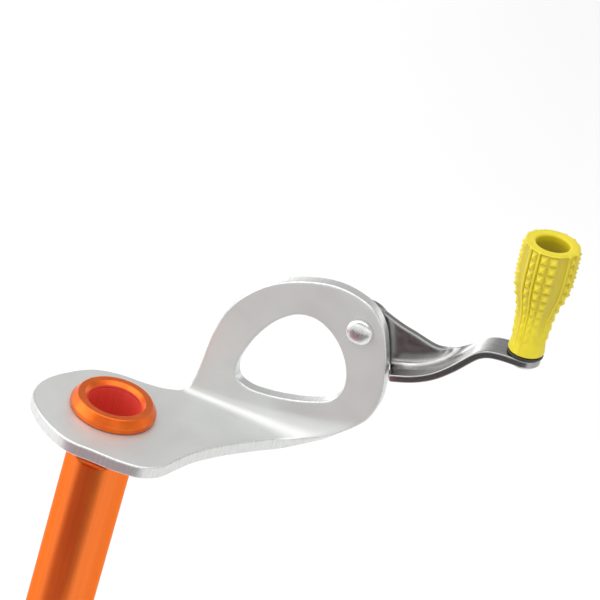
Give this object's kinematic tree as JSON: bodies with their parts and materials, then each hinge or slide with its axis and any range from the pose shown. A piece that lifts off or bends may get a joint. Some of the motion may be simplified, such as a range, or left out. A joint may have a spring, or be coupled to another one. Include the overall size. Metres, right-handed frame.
{
  "type": "ice screw",
  "caption": "Tubular ice screw with a folded hanger plate, a clip-in eye and a folding crank with a free-turning knob.",
  "frame": {"origin": "on the tube's axis, at the level of the hanger plate's underside, where the ice surface lies when the screw is fully in", "axes": "+Z along the tube from the cutting tip to the head; +X along the hanger's upright fin, towards the crank; the fin's front face looks towards -Y"},
  "size_m": [0.1166, 0.0522, 0.2109],
  "materials": {
    "satin_aluminium": "satin, tumbled",
    "orange_anodised": "orange anodised, polished",
    "orange_collar": "orange anodised, turned",
    "crown_steel": "machined steel",
    "rivet_steel": "bright stainless",
    "washer_steel": "plain stainless",
    "crank_steel": "dark, smooth pressed stainless",
    "black_nylon": "matt",
    "yellow_plastic": "moulded, fine matt"
  },
  "bodies": {
    "hanger": {"hanger_plate": "satin_aluminium", "screw_tube": "orange_anodised", "cutting_tip": "crown_steel", "head_collar": "orange_collar", "pivot_rivet": "rivet_steel", "pivot_friction_washer": "washer_steel", "pivot_backing_washer": "washer_steel"},
    "crank": {"crank_arm": "crank_steel", "knob_axle": "rivet_steel", "knob_thrust_washer": "black_nylon", "knob_top_washer": "washer_steel"},
    "knob": {"crank_knob": "yellow_plastic"}
  },
  "joints": [
    {"name": "crank_fold", "type": "hinge", "parent": "hanger", "child": "crank", "pos_m": [0.0503, 0.0273, 0.0383], "axis": [0, -1, 0], "range_deg": [0, 164]},
    {"name": "knob_spin", "type": "hinge", "parent": "crank", "child": "knob", "pos_m": [0.0908, 0.0241, 0.048], "axis": [-0.0698, 0, 0.9976], "continuous": true}
  ]
}
